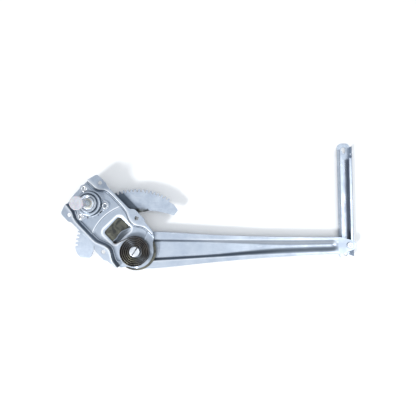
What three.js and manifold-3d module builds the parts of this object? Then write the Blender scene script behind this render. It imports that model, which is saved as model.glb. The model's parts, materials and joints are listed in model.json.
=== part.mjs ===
// Single-arm window winder of a car door: a pressed base plate with a hand-crank spindle and brake drum,
// a toothed sector riveted to a long lift arm, a counter spring on the arm pivot, and a lift channel that
// carries the glass on a roller at the arm's tip.
// Millimetres. Origin on the arm pivot at the back of its stud, +X along the arm, +Z towards the crank.
import * as THREE from "three";
import { mergeVertices } from "three/addons/utils/BufferGeometryUtils.js";
import Module from "manifold-3d";

const wasm = await Module();
wasm.setup();

// ---- driving dimensions ----
const gap = 0.3; // between pieces that touch
const sheet = 2; // plate, arm and housing steel

const armLength = 363.2; // pivot to roller
const armPlane = 3; // underside of the arm's root
const armJoggle = 2; // how far the tip half steps back
const troughDepth = 4.5;

const toothModule = 2.1;
const sectorCount = 97; // teeth of the full circle that the sector is cut from
const pinionCount = 8;
const sectorTeeth = 32;
const teethBefore = 21; // sector teeth on the arm's side of the pinion
const sectorBottom = armPlane + sheet + gap;
const sectorThickness = 2.5;
const hubRadius = 33.3;
const sectorPitch = (toothModule * sectorCount) / 2;
const pinionPitch = (toothModule * pinionCount) / 2;
const spindleDistance = sectorPitch + pinionPitch;
const plateAngle = 132.5; // from the arm to the line of pivot and spindle

const floorBottom = 9; // plate floor round the pivot
const stepRise = 1.5; // the floor stands higher under the drum
const stepRadius = 78;
const earTop = 20; // face that meets the door's inner panel
const earHole = 3.5;
const earHoles = [[37.5, 40.4], [121.2, 37.3], [35.5, -37.2], [118.5, -35.8]]; // along and across the plate
const noseRadius = 29.2; // the floor runs out round the spring, past the ends of the walls
const windowCorners = [[33.3, -17.6, 4], [33.3, 21.2, 3], [62, 19.8, 6], [60, -17.9, 5]];
const springTab = [32.3, 34.3, -12, 6]; // along from and to, across from and to
const floorSlots = [[87.4, 4.2, 1.7, 7.6], [95.6, -18.4, 1.8, 3.4]]; // along, across, width, length

const pivotShank = 7;
const slotWidth = 1.9;
const slotAngle = 54.7;
const springStrip = 1.3;
const springBottom = 12.1;
const springWidth = 8.4;
const springInner = 10.1;
const springOuter = 25.2;
const springTurns = 5;
const springShift = [-1.6, -0.4]; // how far off the pivot its outer turn lies
const springLeaves = 102.7; // direction at which the outer turn runs off to its tab

const drumFloor = floorBottom + stepRise + sheet + gap;
const eyeletCircle = 26;
const eyeletAngles = [108.7, -9.3, 234.7];
const shankRadius = 6;
const spindleTop = 58.7;
const capTop = 62;

const channelWidth = 23;
const channelDepth = 10;
const channelSheet = 1.5;
const channelTop = -4.3;
const channelEnds = [-25.5, 177];
const channelSides = [ // side, ends of its wall, ends of its lip
  [-1, [-13, 165.5], [-9, 162]],
  [1, [-20, 170], [-9, 150]],
];
const glassSlot = [3.6, 159.6, 170.4]; // half width, lower and upper end
const lipWidth = 4;

const radians = THREE.MathUtils.degToRad;
const polar = (radius, degrees) => [radius * Math.cos(radians(degrees)), radius * Math.sin(radians(degrees))];
const onPlate = (along, across) => {
  const [x, y] = polar(along, plateAngle);
  const [u, v] = polar(across, plateAngle - 90);
  return [x + u, y + v];
};
const spindleAt = onPlate(spindleDistance, 0);

// ---- solids ----
function solid(geometry) {
  const bare = geometry.index ? geometry.toNonIndexed() : geometry.clone();
  bare.deleteAttribute("normal");
  bare.deleteAttribute("uv");
  const merged = mergeVertices(bare, 1e-4);
  return new wasm.Manifold(new wasm.Mesh({
    numProp: 3,
    vertProperties: merged.attributes.position.array,
    triVerts: new Uint32Array(merged.index.array),
  }));
}

function surface(body) {
  const mesh = body.getMesh();
  const geometry = new THREE.BufferGeometry();
  geometry.setAttribute("position", new THREE.BufferAttribute(new Float32Array(mesh.vertProperties), 3));
  geometry.setIndex(new THREE.BufferAttribute(new Uint32Array(mesh.triVerts), 1));
  geometry.computeVertexNormals();
  return geometry;
}

const join = (first, ...rest) => rest.reduce((body, next) => body.add(next), first);
const cut = (first, ...rest) => rest.reduce((body, next) => body.subtract(next), first);

const straightShape = (points) => new THREE.Shape(points.map(([x, y]) => new THREE.Vector2(x, y)));

function prism(outline, bottom, height, curveSegments = 8) {
  const shape = outline instanceof THREE.Shape ? outline : straightShape(outline);
  const geometry = new THREE.ExtrudeGeometry(shape, { depth: height, bevelEnabled: false, curveSegments });
  return solid(geometry.translate(0, 0, bottom));
}

function disc([x, y], radius, bottom, height, sides = 20) {
  const geometry = new THREE.CylinderGeometry(radius, radius, height, sides).rotateX(Math.PI / 2);
  return solid(geometry.translate(x, y, bottom + height / 2));
}

// Turned piece from [radius, height] corners, listed upwards on the outside.
function turned(corners, sides = 20) {
  const points = corners.map(([r, z]) => new THREE.Vector2(r, z));
  return solid(new THREE.LatheGeometry(points, sides).rotateX(Math.PI / 2));
}

const ring = (inner, outer, bottom, height, sides = 20) =>
  turned([[inner, bottom], [outer, bottom], [outer, bottom + height], [inner, bottom + height], [inner, bottom]], sides);

// Closed outline of [x, y, corner radius] points, with each corner rounded off.
function roundedOutline(corners) {
  const shape = new THREE.Shape();
  corners.forEach(([x, y, radius = 0], i) => {
    const corner = new THREE.Vector2(x, y);
    const towards = (step) => {
      const [nx, ny] = corners[(i + step + corners.length) % corners.length];
      const side = new THREE.Vector2(nx - x, ny - y);
      return side.setLength(Math.min(radius, 0.45 * side.length())).add(corner);
    };
    const start = towards(-1);
    const end = towards(1);
    if (i === 0) shape.moveTo(start.x, start.y);
    else shape.lineTo(start.x, start.y);
    if (radius > 0) shape.quadraticCurveTo(x, y, end.x, end.y);
  });
  shape.closePath();
  return shape;
}

// ---- finishes ----
const finish = (color, roughness, metalness) => new THREE.MeshStandardMaterial({ color, roughness, metalness });
const zinc = finish(0xb9c3cd, 0.38, 0.9);
const brightSteel = finish(0xd4d8dc, 0.25, 1);
const springSteel = finish(0x2a241c, 0.5, 0.8);
const darkSteel = finish(0x6b6e6a, 0.45, 0.9);
const greyNylon = finish(0xbebec4, 0.45, 0);
const whiteNylon = finish(0xe6e2d6, 0.5, 0);
const bronze = finish(0x9a7b4a, 0.45, 0.8);

const part = new THREE.Group();
const spindleLine = new THREE.Group(); // everything centred on the crank spindle
spindleLine.position.set(...spindleAt, 0);
const channelLine = new THREE.Group(); // everything centred on the roller
channelLine.position.set(armLength, 0, 0);
part.add(spindleLine, channelLine);

function add(name, body, material, group = part) {
  const mesh = new THREE.Mesh(surface(body), material);
  mesh.name = name;
  group.add(mesh);
}

// ---- base plate: a pressed pan with a wavy wall and four ears ----
// Middle of each wall and edge of each flange: along and across the plate, from the pan's free end to the pivot.
const rightSide = {
  wall: [[138, 24.2], [127, 24.8], [117.5, 26], [112, 29.8], [106.5, 34.4], [98, 36.4], [80, 36.8], [64.5, 36.2],
    [55.6, 34.4], [46.6, 30.3], [38, 28.8], [30.5, 30.5], [24, 35.2], [18, 38.4], [10, 39.4], [1, 39.8]],
  rim: [[139, 23.5], [138.8, 28, 1], [135.4, 42.2, 3], [132.6, 44, 3], [113.6, 44.2, 3], [110, 42, 3], [57, 42.4, 3],
    [51, 48.6, 4], [27.6, 49, 4], [24.4, 45.8, 2], [6, 45.2, 2], [1, 42.6, 1]],
};
const leftSide = {
  wall: [[136, -27.6], [127, -28], [118, -29.4], [110.6, -33.2], [102, -34.9], [88, -35], [64, -35], [55.5, -34],
    [47, -30.4], [40, -27.8], [33, -27], [27, -28.8], [21, -32.6], [14, -36], [7, -37.2], [1, -37.8]],
  rim: [[137, -26.6], [135.6, -28, 1], [130.4, -42.4, 3], [127, -44, 2], [111, -44.2, 3], [107.6, -41.4, 3],
    [53.4, -40.4, 3], [46.4, -45.8, 4], [24, -45.8, 3], [21, -42.8, 2], [4, -40.8, 1], [1, -39.6]],
};

const placed = (points) => points.map(([along, across, radius]) => {
  const [x, y] = onPlate(along, across);
  return [x, y, radius];
});

function wallPoints({ wall }, offset) {
  const line = new THREE.SplineCurve(wall.map(([along, across]) => new THREE.Vector2(along, across)));
  return line.getPoints(24).map((p) => [p.x, p.y + Math.sign(p.y) * offset]);
}

function wallAndFlange(side) {
  const ordered = (points) => (side === rightSide ? points : [...points].reverse());
  const wall = [...wallPoints(side, -sheet / 2), ...wallPoints(side, sheet / 2).reverse()];
  const flange = [...side.rim, ...wallPoints(side, 0).reverse().slice(1, -1)];
  return join(
    prism(ordered(placed(wall)), floorBottom, earTop - floorBottom),
    prism(roundedOutline(ordered(placed(flange))), earTop - sheet, sheet, 4),
  );
}

function floorOutline() {
  const nose = [];
  for (let turn = 60; turn >= -60; turn -= 10) nose.push(polar(noseRadius, 180 - turn));
  const right = [...wallPoints(rightSide, sheet / 2), [-3.8, 38.6], [-8.4, 30.9]];
  const left = [...wallPoints(leftSide, sheet / 2), [-4.6, -35.4], [-9, -28.2]].reverse();
  const farEnd = [[137.6, -21.8], [139.4, -10.5], [140.4, 6], [140.4, 21]];
  return [...right, ...nose, ...left, ...farEnd].map((p) => onPlate(...p));
}

function basePlate() {
  const tall = 30;
  const outline = floorOutline();
  const whole = (bottom, height) => prism(outline, bottom, height);
  const low = whole(floorBottom, sheet).intersect(disc([0, 0], stepRadius + 1, 0, tall, 52));
  const high = cut(whole(floorBottom + stepRise, sheet), disc([0, 0], stepRadius - 1, 0, tall, 52));
  const step = whole(floorBottom, stepRise + sheet).intersect(
    cut(disc([0, 0], stepRadius + 1, 0, tall, 52), disc([0, 0], stepRadius - 1, -1, tall + 2, 52)));
  const pan = join(low, high, step, wallAndFlange(rightSide), wallAndFlange(leftSide));

  const holes = [
    prism(roundedOutline(placed(windowCorners)), 0, floorBottom + 2 * sheet + 1, 4),
    disc([0, 0], pivotShank + 2, 0, tall),
    disc(spindleAt, 13, 0, tall),
    ...eyeletAngles.map((angle) => {
      const [x, y] = polar(eyeletCircle, angle);
      return disc([spindleAt[0] + x, spindleAt[1] + y], 4, 0, tall, 14);
    }),
    ...earHoles.map((place) => disc(onPlate(...place), earHole, 0, tall, 16)),
    ...floorSlots.map(([s, t, wide, long]) => prism([[-1, -1], [1, -1], [1, 1], [-1, 1]]
      .map(([along, across]) => onPlate(s + along * wide / 2, t + across * long / 2)), 0, tall)),
  ];
  const [from, to, left, right] = springTab;
  const tab = [[from, left], [from, right], [to, right], [to, left]].map((p) => onPlate(...p));
  return join(cut(pan, ...holes), prism(tab, floorBottom, 10));
}

// ---- gear pair ----
function toothedRim(count, first, pitch, radii, widths, centre = 0) {
  // widths are half widths at the root, pitch and tip radii
  const points = [];
  for (let i = 0; i < count; i += 1) {
    const middle = centre + (first + i) * pitch;
    radii.forEach((radius, k) => points.push(polar(radius, middle - THREE.MathUtils.radToDeg(widths[k] / radius))));
    [...radii].reverse().forEach((radius, k) =>
      points.push(polar(radius, middle + THREE.MathUtils.radToDeg(widths[radii.length - 1 - k] / radius))));
  }
  return points;
}

const sectorTip = sectorPitch + toothModule;
const sectorRoot = sectorPitch - 1.25 * toothModule;

function sectorGear() {
  const pitch = 360 / sectorCount;
  const teeth = toothedRim(sectorTeeth, 0.5 - teethBefore, pitch, [sectorRoot, sectorPitch, sectorTip],
    [2.2, 1.42, 0.65], plateAngle);
  const hub = [];
  for (let angle = 165; angle <= 455; angle += 10) hub.push(polar(hubRadius, angle));
  const outline = [
    polar(87, 42), polar(96.6, 42.8), polar(98, 43.8), polar(100.2, 50), polar(sectorRoot, 53.6),
    ...teeth,
    polar(sectorRoot, 174), polar(103.3, 174.5), polar(102.9, 177), polar(101.4, 179.8), polar(98.8, 183),
    polar(94.4, 185.6), polar(80.4, 187.3), polar(77, 185.8), polar(71, 175), polar(58, 169),
    ...hub,
    polar(52, 92), polar(63, 88.5), polar(67.5, 84), polar(72, 69), polar(78, 55),
  ];
  const plate = prism(outline, sectorBottom, sectorThickness);
  const rivetHoles = rivetPlaces.map((place) => disc(place, 4 + gap, 0, 20, 16));
  return cut(plate, disc([0, 0], pivotShank + gap, 0, 20), ...rivetHoles);
}

const rivetPlaces = [100, 200, 300].map((angle) => polar(23, angle));

function pinion() {
  const radii = [pinionPitch - 1.2 * toothModule, pinionPitch, pinionPitch + 0.9 * toothModule];
  const teeth = toothedRim(pinionCount, 0, 360 / pinionCount, radii, [1.35, 1.2, 0.5], plateAngle + 180);
  return cut(join(prism(teeth, 4.6, 4), disc([0, 0], 9, 8.4, 6.6)), disc([0, 0], 3.5 + gap, 0, 30, 16));
}

// ---- lift arm: a tapering strip with a pressed trough and a joggle ----
const armStations = [ // along the arm, half width, trough half width, share of the trough's depth
  [-30, 7.8, 3, 0], [-25, 18.3, 6, 0], [-16, 26.5, 10, 0], [-6, 30.4, 14, 0], [6, 31, 16, 0], [17, 31, 17.5, 0],
  [22, 31, 18.4, 0.5], [27, 30.9, 18.6, 1], [60, 28.6, 17.4, 1], [132, 23, 15, 1], [143, 22.2, 14.7, 1],
  [160, 21, 14.2, 1], [176, 20.2, 13.8, 1], [192, 19.4, 13.4, 1], [257, 16.5, 12, 1], [310, 14.4, 11.2, 1],
  [328, 14.3, 10.8, 1], [336, 14.2, 9.5, 0.95], [341, 14.1, 7, 0.6], [344, 14, 5, 0], [352, 13.4, 4.5, 0],
  [362, 10.8, 4, 0], [369, 8, 3, 0], [373, 5, 2, 0],
];

const planeHeight = (x) => armPlane - armJoggle * THREE.MathUtils.smoothstep(x, 143, 192);

function armSection([x, half, trough, share]) {
  const base = planeHeight(x);
  const depth = troughDepth * share;
  const slope = Math.min(3.2, trough / 2);
  const across = [half, trough, trough - slope, slope - trough, -trough, -half];
  const drop = [0, 0, depth, depth, 0, 0];
  const top = across.map((y, i) => [x, y, base + sheet - drop[i]]);
  const under = across.map((y, i) => [x, y, base - drop[i]]).reverse();
  return [...top, ...under];
}

// Closed body through a row of sections with the same number of points.
function lofted(sections) {
  const count = sections[0].length;
  const positions = sections.flat(2);
  const faces = [];
  for (let i = 0; i + 1 < sections.length; i += 1) {
    for (let k = 0; k < count; k += 1) {
      const a = i * count + k;
      const b = i * count + (k + 1) % count;
      faces.push(a, b, a + count, b, b + count, a + count);
    }
  }
  const last = (sections.length - 1) * count;
  for (let k = 0; k + 1 < count / 2; k += 1) {
    const j = count - 1 - k;
    faces.push(k, j, k + 1, k + 1, j, j - 1);
    faces.push(last + k, last + k + 1, last + j, last + k + 1, last + j - 1, last + j);
  }
  const geometry = new THREE.BufferGeometry();
  geometry.setAttribute("position", new THREE.Float32BufferAttribute(positions, 3));
  geometry.setIndex(faces);
  return solid(geometry);
}

function liftArm() {
  const holes = [disc([0, 0], pivotShank + gap, -10, 30), disc([armLength, 0], 4 + gap, -10, 30)];
  return cut(lofted(armStations.map(armSection)), ...holes,
    ...rivetPlaces.map((place) => disc(place, 4 + gap, -10, 30, 16)));
}

// ---- pivot ----
function pivotStud() {
  const face = 21.7;
  const slotFloor = 11.8;
  const body = turned([[0, 0], [10.4, 0], [11, 0.8], [11, 2.1], [10, 2.7], [pivotShank, 2.7], [pivotShank, 11.6],
    [8.5, 11.6], [8.5, 21.1], [7.9, face], [0, face]]);
  const slot = new THREE.BoxGeometry(30, slotWidth, 20).rotateZ(radians(slotAngle)).translate(0, 0, slotFloor + 10);
  return cut(body, solid(slot));
}

// Outline of a strip that follows a line of points.
function stripOutline(line, width) {
  const side = (sign) => line.map((point, i) => {
    const before = line[Math.max(i - 1, 0)];
    const after = line[Math.min(i + 1, line.length - 1)];
    const along = new THREE.Vector2(after[0] - before[0], after[1] - before[1]).normalize();
    return [point[0] - sign * along.y * width / 2, point[1] + sign * along.x * width / 2];
  });
  return [...side(-1), ...side(1).reverse()];
}

function counterSpring() {
  const line = [polar(3, slotAngle), polar(8.4, slotAngle), polar(9.4, slotAngle + 1)];
  const total = springTurns * 360 + springLeaves - slotAngle;
  const steps = springTurns * 20;
  for (let i = 1; i <= steps; i += 1) {
    const share = i / steps;
    const [x, y] = polar(springInner + (springOuter - springInner) * share, slotAngle + total * share);
    line.push([x + springShift[0] * share, y + springShift[1] * share]);
  }
  const hook = [[31, -12], [31.9, -13.9], [33.2, -14.4], [35.6, -14.4], [37, -13.2]];
  line.push(...hook.map((p) => onPlate(...p)));
  return prism(stripOutline(line, springStrip), springBottom, springWidth);
}

// ---- drum, spindle and cap, centred on the spindle ----
function drumHousing() {
  const ears = eyeletAngles.map((angle) => {
    const place = polar(eyeletCircle, angle);
    const inner = polar(12, angle);
    const wide = polar(8.5, angle + 90);
    const lug = [[inner[0] - wide[0] * 2, inner[1] - wide[1] * 2], [place[0] - wide[0] * 0.85, place[1] - wide[1] * 0.85],
      [place[0] + wide[0] * 0.85, place[1] + wide[1] * 0.85], [inner[0] + wide[0] * 2, inner[1] + wide[1] * 2]];
    return join(prism(lug, drumFloor, sheet), disc(place, 7.4, drumFloor, sheet, 20));
  });
  const cup = turned([
    [18.6, drumFloor], [21.8, drumFloor], [21.8, drumFloor + sheet], [20.4, drumFloor + sheet], [20.4, 19.4],
    [19.6, 20.4], [16, 20.4], [15.2, 21.2], [15.2, 22.4], [14.4, 23.2], [11.8, 23.2], [10.6, 22.2], [8, 22.2],
    [8, 20.4], [12, 20.4], [13.6, 19.6], [13.6, 18.9], [18.6, 18.9], [18.6, drumFloor],
  ], 28);
  const bore = disc([0, 0], 18.6, drumFloor - 1, 6, 28);
  const eyes = eyeletAngles.map((angle) => disc(polar(eyeletCircle, angle), 4, 0, 30, 14));
  return cut(join(cut(join(...ears), bore), cup), ...eyes);
}

const eyelet = (angle) => {
  const [x, y] = polar(eyeletCircle, angle);
  const top = drumFloor + sheet + gap;
  const under = floorBottom + stepRise - gap;
  return turned([[2.6, under - 0.8], [5.2, under - 0.8], [5.2, under], [3.7, under], [3.7, top], [5.2, top],
    [4.8, top + 0.9], [3.2, top + 1], [2.6, top + 0.4], [2.6, under - 0.8]], 14).translate([x, y, 0]);
};

function brakeSpring() {
  const wire = 1.5;
  const radius = 17.2;
  const bottom = 13.2;
  class Coil extends THREE.Curve {
    getPoint(t, target = new THREE.Vector3()) {
      const turn = t * 2.4 * Math.PI * 2;
      return target.set(radius * Math.cos(turn), radius * Math.sin(turn), bottom + wire / 2 + t * 4);
    }
  }
  const half = wire / 2;
  const section = new THREE.Shape([[-half, -half], [half, -half], [half, half], [-half, half]]
    .map(([x, y]) => new THREE.Vector2(x, y)));
  return solid(new THREE.ExtrudeGeometry(section, { steps: 44, extrudePath: new Coil(), bevelEnabled: false }));
}

const drivePlate = () => cut(
  join(disc([0, 0], 11.5, 15.3, 1.6), prism([[6, -5], [15, -5], [15, 5], [6, 5]], 15.3, 1.6)),
  disc([0, 0], 3.5 + gap, 0, 30, 16));

function spindle() {
  const splineFrom = 46;
  const core = turned([[0, 3], [3.2, 3], [3.5, 3.4], [3.5, 17.2], [shankRadius, 17.2], [shankRadius, splineFrom],
    [5.3, splineFrom], [5.3, spindleTop - 0.8], [4.6, spindleTop], [0, spindleTop]]);
  const splines = toothedRim(30, 0, 12, [5.2, 5.9], [0.42, 0.18]);
  return join(core, prism(splines, splineFrom, spindleTop - splineFrom - 0.8));
}

const spindleCap = () => turned([[6.3, 43], [7.2, 43], [7.3, 58.9], [10, 58.9], [10.6, 59.6], [10.6, 61.2],
  [9.9, capTop], [0, capTop], [0, spindleTop + gap],
  [6.3, spindleTop + gap], [6.3, 43]]);

// ---- roller and channel, centred on the roller ----
const armTip = armPlane - armJoggle;
const rollerStud = () => turned([[0, -12.3], [6, -12.3], [6, -10.9], [4, -10.9], [4, -2.4], [7, -2.4],
  [7, armTip - gap], [4, armTip - gap], [4, armTip + sheet + gap], [5.5, armTip + sheet + gap],
  [5.3, armTip + sheet + 1.6], [4.4, armTip + sheet + 2], [1.8, armTip + sheet + 2], [1.2, armTip + sheet + 1.2],
  [0, armTip + sheet + 1.2]]);

const roller = () => turned([[4.3, -10.6], [8.9, -10.6], [9.4, -10.1], [9.4, -6.8], [8.9, -6.3], [4.3, -6.3],
  [4.3, -10.6]]);

function liftChannel() {
  const half = channelWidth / 2;
  const back = channelTop - channelDepth;
  const long = ([from, to], x0, x1, z0, z1) => prism([[x0, from], [x1, from], [x1, to], [x0, to]], z0, z1 - z0);
  const web = roundedOutline([[-half, channelEnds[0], 9], [half, channelEnds[0], 9], [half, channelEnds[1], 9],
    [-half, channelEnds[1], 9]]);
  const sides = channelSides.flatMap(([side, wall, lip]) => {
    const [x0, x1] = [side * half, side * (half - channelSheet)].sort((a, b) => a - b);
    const [l0, l1] = [side * half, side * (half - channelSheet - lipWidth)].sort((a, b) => a - b);
    return [long(wall, x0, x1, back, channelTop), long(lip, l0, l1, channelTop - channelSheet, channelTop)];
  });
  const [wide, low, high] = glassSlot;
  const slot = roundedOutline([[-wide, low, 3.5], [wide, low, 3.5], [wide, high, 3.5], [-wide, high, 3.5]]);
  return cut(join(prism(web, back, channelSheet, 5), ...sides), disc([0, -17.6], 3.75, -20, 20, 24),
    prism(slot, -20, 12, 5));
}

add("base_plate", basePlate(), zinc);
add("pivot_bush", ring(pivotShank + gap, 8.6, 8.1, 3.2), bronze);
add("pivot_washer", ring(9, 15, 8.1, 0.6), darkSteel);
add("counter_spring", counterSpring(), springSteel);
add("drum_housing", drumHousing(), zinc, spindleLine);
eyeletAngles.forEach((angle, i) => add(`housing_eyelet_${i + 1}`, eyelet(angle), brightSteel, spindleLine));
add("spindle_bush", ring(shankRadius + gap, 7.7, 20.7, 2.9), whiteNylon, spindleLine);

add("lift_arm", liftArm(), zinc);
add("sector_gear", sectorGear(), zinc);
add("pivot_stud", pivotStud(), brightSteel);
rivetPlaces.forEach(([x, y], i) => add(`sector_rivet_${i + 1}`,
  turned([[0, 1.2], [6, 1.2], [6.5, 1.8], [6.2, 2.7], [4, 2.7], [4, 8.3], [0, 8.3]], 16).translate([x, y, 0]), brightSteel));
add("roller_stud", rollerStud(), brightSteel, channelLine);

add("spindle", spindle(), brightSteel, spindleLine);
add("pinion", pinion(), darkSteel, spindleLine);
add("pinion_clip", ring(3.8, 6.5, 3.6, 0.7, 24), springSteel, spindleLine);
add("drive_plate", drivePlate(), darkSteel, spindleLine);
add("brake_spring", brakeSpring(), springSteel, spindleLine);
add("spindle_cap", spindleCap(), greyNylon, spindleLine);

add("roller", roller(), whiteNylon, channelLine);
add("guide_washer", ring(4.3, 9, -4, 1.3), whiteNylon, channelLine);
add("lift_channel", liftChannel(), zinc, channelLine);

export default part;
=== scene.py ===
# Hand-cranked window regulator of a car door: the looks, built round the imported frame.
import json
import math

import bpy
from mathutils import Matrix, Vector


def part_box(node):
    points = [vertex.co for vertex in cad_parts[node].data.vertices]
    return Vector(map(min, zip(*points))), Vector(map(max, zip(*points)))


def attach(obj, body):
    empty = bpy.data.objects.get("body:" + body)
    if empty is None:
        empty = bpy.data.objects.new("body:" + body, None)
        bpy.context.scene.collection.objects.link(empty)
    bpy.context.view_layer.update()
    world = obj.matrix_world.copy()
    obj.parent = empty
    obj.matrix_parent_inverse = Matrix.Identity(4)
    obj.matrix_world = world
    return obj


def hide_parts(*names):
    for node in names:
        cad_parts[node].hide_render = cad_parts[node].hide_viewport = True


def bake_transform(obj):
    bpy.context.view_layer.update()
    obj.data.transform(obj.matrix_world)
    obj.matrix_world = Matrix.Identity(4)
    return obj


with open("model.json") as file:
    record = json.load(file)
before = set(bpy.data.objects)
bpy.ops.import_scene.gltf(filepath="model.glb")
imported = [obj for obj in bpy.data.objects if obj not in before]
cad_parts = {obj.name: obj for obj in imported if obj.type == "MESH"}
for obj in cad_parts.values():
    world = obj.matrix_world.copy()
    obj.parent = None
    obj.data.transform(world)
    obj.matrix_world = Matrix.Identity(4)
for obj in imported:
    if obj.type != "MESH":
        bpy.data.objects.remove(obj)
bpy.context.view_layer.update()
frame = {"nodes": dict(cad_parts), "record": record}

mm = 0.001
weldGap = 0.004 * mm
joints = {joint["name"]: joint for joint in frame["record"]["behaviour"]["joints"]}
spindleAt = [value / mm for value in joints["spindle_turn"]["pos_m"][:2]]
rollerAt = [value / mm for value in joints["roller_turn"]["pos_m"][:2]]
plateAngle = math.atan2(spindleAt[1], spindleAt[0])
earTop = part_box("base_plate")[1].z / mm
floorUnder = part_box("base_plate")[0].z / mm
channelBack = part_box("lift_channel")[0].z / mm
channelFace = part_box("lift_channel")[1].z / mm
print("frame loaded")


# From 0 at low to 1 at high, with soft ends.
def smooth(value, low, high):
    share = min(max((value - low) / (high - low), 0), 1)
    return share * share * (3 - 2 * share)


# Smooth function through (place, value) pairs.
def lineThrough(points):
    def slope(i):
        before, after = points[max(i - 1, 0)], points[min(i + 1, len(points) - 1)]
        return (after[1] - before[1]) / (after[0] - before[0])

    def valueAt(place):
        if place <= points[0][0]:
            return points[0][1]
        for i in range(len(points) - 1):
            (x0, y0), (x1, y1) = points[i], points[i + 1]
            if place <= x1:
                wide = x1 - x0
                t = (place - x0) / wide
                return (y0 * (1 + 2 * t) * (1 - t) ** 2 + wide * slope(i) * t * (1 - t) ** 2
                        + y1 * t * t * (3 - 2 * t) + wide * slope(i + 1) * t * t * (t - 1))
        return points[-1][1]

    return valueAt


def polar(radius, angle, centre=(0, 0)):
    return centre[0] + radius * math.cos(angle), centre[1] + radius * math.sin(angle)


# The plate's own directions: along it towards the spindle, and across it towards the arm's tip.
def onPlate(along, across):
    return polar(across, plateAngle - math.pi / 2, polar(along, plateAngle))


def plateSpot(x, y):
    along = x * math.cos(plateAngle) + y * math.sin(plateAngle)
    across = x * math.sin(plateAngle) - y * math.cos(plateAngle)
    return along, across


def circle(radius, centre=(0, 0), count=48):
    return [polar(radius, 2 * math.pi * i / count, centre) for i in range(count)]


# Outline with rounded corners from (x, y, radius) corners.
def rounded(corners, parts=6):
    outline = []
    for i, (x, y, radius) in enumerate(corners):
        ends = []
        for other in (corners[i - 1], corners[(i + 1) % len(corners)]):
            wide = math.hypot(other[0] - x, other[1] - y)
            reach = min(radius, 0.48 * wide) / wide
            ends.append((x + (other[0] - x) * reach, y + (other[1] - y) * reach))
        if radius == 0:
            outline.append((x, y))
            continue
        for step in range(parts + 1):
            t = step / parts
            outline.append(tuple(
                a * (1 - t) ** 2 + 2 * b * t * (1 - t) + c * t * t
                for a, b, c in zip(ends[0], (x, y), ends[1])))
    return outline


def deselectAll():
    bpy.ops.object.select_all(action="DESELECT")


def pick(piece):
    deselectAll()
    piece.select_set(True)
    bpy.context.view_layer.objects.active = piece


def applyModifier(piece, kind, **settings):
    modifier = piece.modifiers.new(kind.title(), kind)
    for key, value in settings.items():
        setattr(modifier, key, value)
    pick(piece)
    bpy.ops.object.modifier_apply(modifier=modifier.name)


def inEditMode(piece, *steps):
    pick(piece)
    bpy.ops.object.mode_set(mode="EDIT")
    bpy.ops.mesh.select_all(action="SELECT")
    for step in steps:
        step()
    bpy.ops.object.mode_set(mode="OBJECT")


def closeUp(piece):
    inEditMode(
        piece,
        lambda: bpy.ops.mesh.remove_doubles(threshold=0.002 * mm),
        lambda: bpy.ops.mesh.dissolve_degenerate(threshold=0.002 * mm),
        lambda: bpy.ops.mesh.normals_make_consistent(inside=False),
    )


# A grid whose points are put in place by a function of their row and column.
def shapedGrid(name, rows, columns, place, markOf=None):
    deselectAll()
    bpy.ops.mesh.primitive_grid_add(x_subdivisions=rows, y_subdivisions=columns, size=2)
    piece = bpy.context.object
    piece.name = name
    marks = []
    for vertex in piece.data.vertices:
        row = round((vertex.co.x + 1) / 2 * rows)
        column = round((vertex.co.y + 1) / 2 * columns)
        vertex.co = [value * mm for value in place(row, column)]
        marks.append(markOf(row) if markOf else 0)
    if markOf:
        attribute = piece.data.attributes.new("mark", "FLOAT", "POINT")
        attribute.data.foreach_set("value", marks)
    return piece


# A pressed sheet: the top's points, then the same points moved by the sheet's thickness for its underside.
def pressedSheet(name, rows, columns, place):
    around = 2 * columns + 2

    def loop(row, column):
        if column <= columns:
            return place(row, column)[0]
        return place(row, (around - 1 - column) if column < around else 0)[int(column < around)]

    piece = shapedGrid(name, rows, around, loop)
    inEditMode(
        piece,
        lambda: bpy.ops.mesh.remove_doubles(threshold=0.001 * mm),
        lambda: bpy.ops.mesh.select_all(action="DESELECT"),
        lambda: bpy.ops.mesh.select_non_manifold(),
        lambda: bpy.ops.mesh.fill_holes(sides=0),
        lambda: bpy.ops.mesh.select_all(action="SELECT"),
        lambda: bpy.ops.mesh.normals_make_consistent(inside=False),
    )
    return piece


def prism(outline, bottom, top, name="cutter"):
    deselectAll()
    bpy.ops.mesh.primitive_circle_add(vertices=len(outline), fill_type="NGON", radius=mm)
    piece = bpy.context.object
    piece.name = name
    for vertex, (x, y) in zip(piece.data.vertices, outline):
        vertex.co = (x * mm, y * mm, bottom * mm)
    inEditMode(
        piece,
        lambda: bpy.ops.mesh.extrude_region_move(
            TRANSFORM_OT_translate={"value": (0, 0, (top - bottom) * mm)}),
        lambda: bpy.ops.mesh.select_all(action="SELECT"),
        lambda: bpy.ops.mesh.normals_make_consistent(inside=False),
    )
    return piece


# A turned piece from [radius, height] corners round an upright axis.
def turned(name, corners, centre=(0, 0), steps=72, chamfer=0.2):
    piece = shapedGrid(
        name, steps, len(corners) - 1,
        lambda row, column: (
            *polar(corners[column][0], 2 * math.pi * row / steps, centre), corners[column][1]))
    closeUp(piece)
    if chamfer:
        chamferEdges(piece, chamfer)
    return piece


def chamferEdges(piece, width, parts=2, above=32):
    applyModifier(
        piece, "BEVEL", width=width * mm, segments=parts, limit_method="ANGLE",
        angle_limit=math.radians(above), use_clamp_overlap=True)


def boolean(piece, operation, *others):
    for other in others:
        applyModifier(piece, "BOOLEAN", object=other, operation=operation, solver="EXACT")
        bpy.data.objects.remove(other)


def joinInto(piece, *others):
    deselectAll()
    for other in others:
        other.select_set(True)
    piece.select_set(True)
    bpy.context.view_layer.objects.active = piece
    bpy.ops.object.join()


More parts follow.
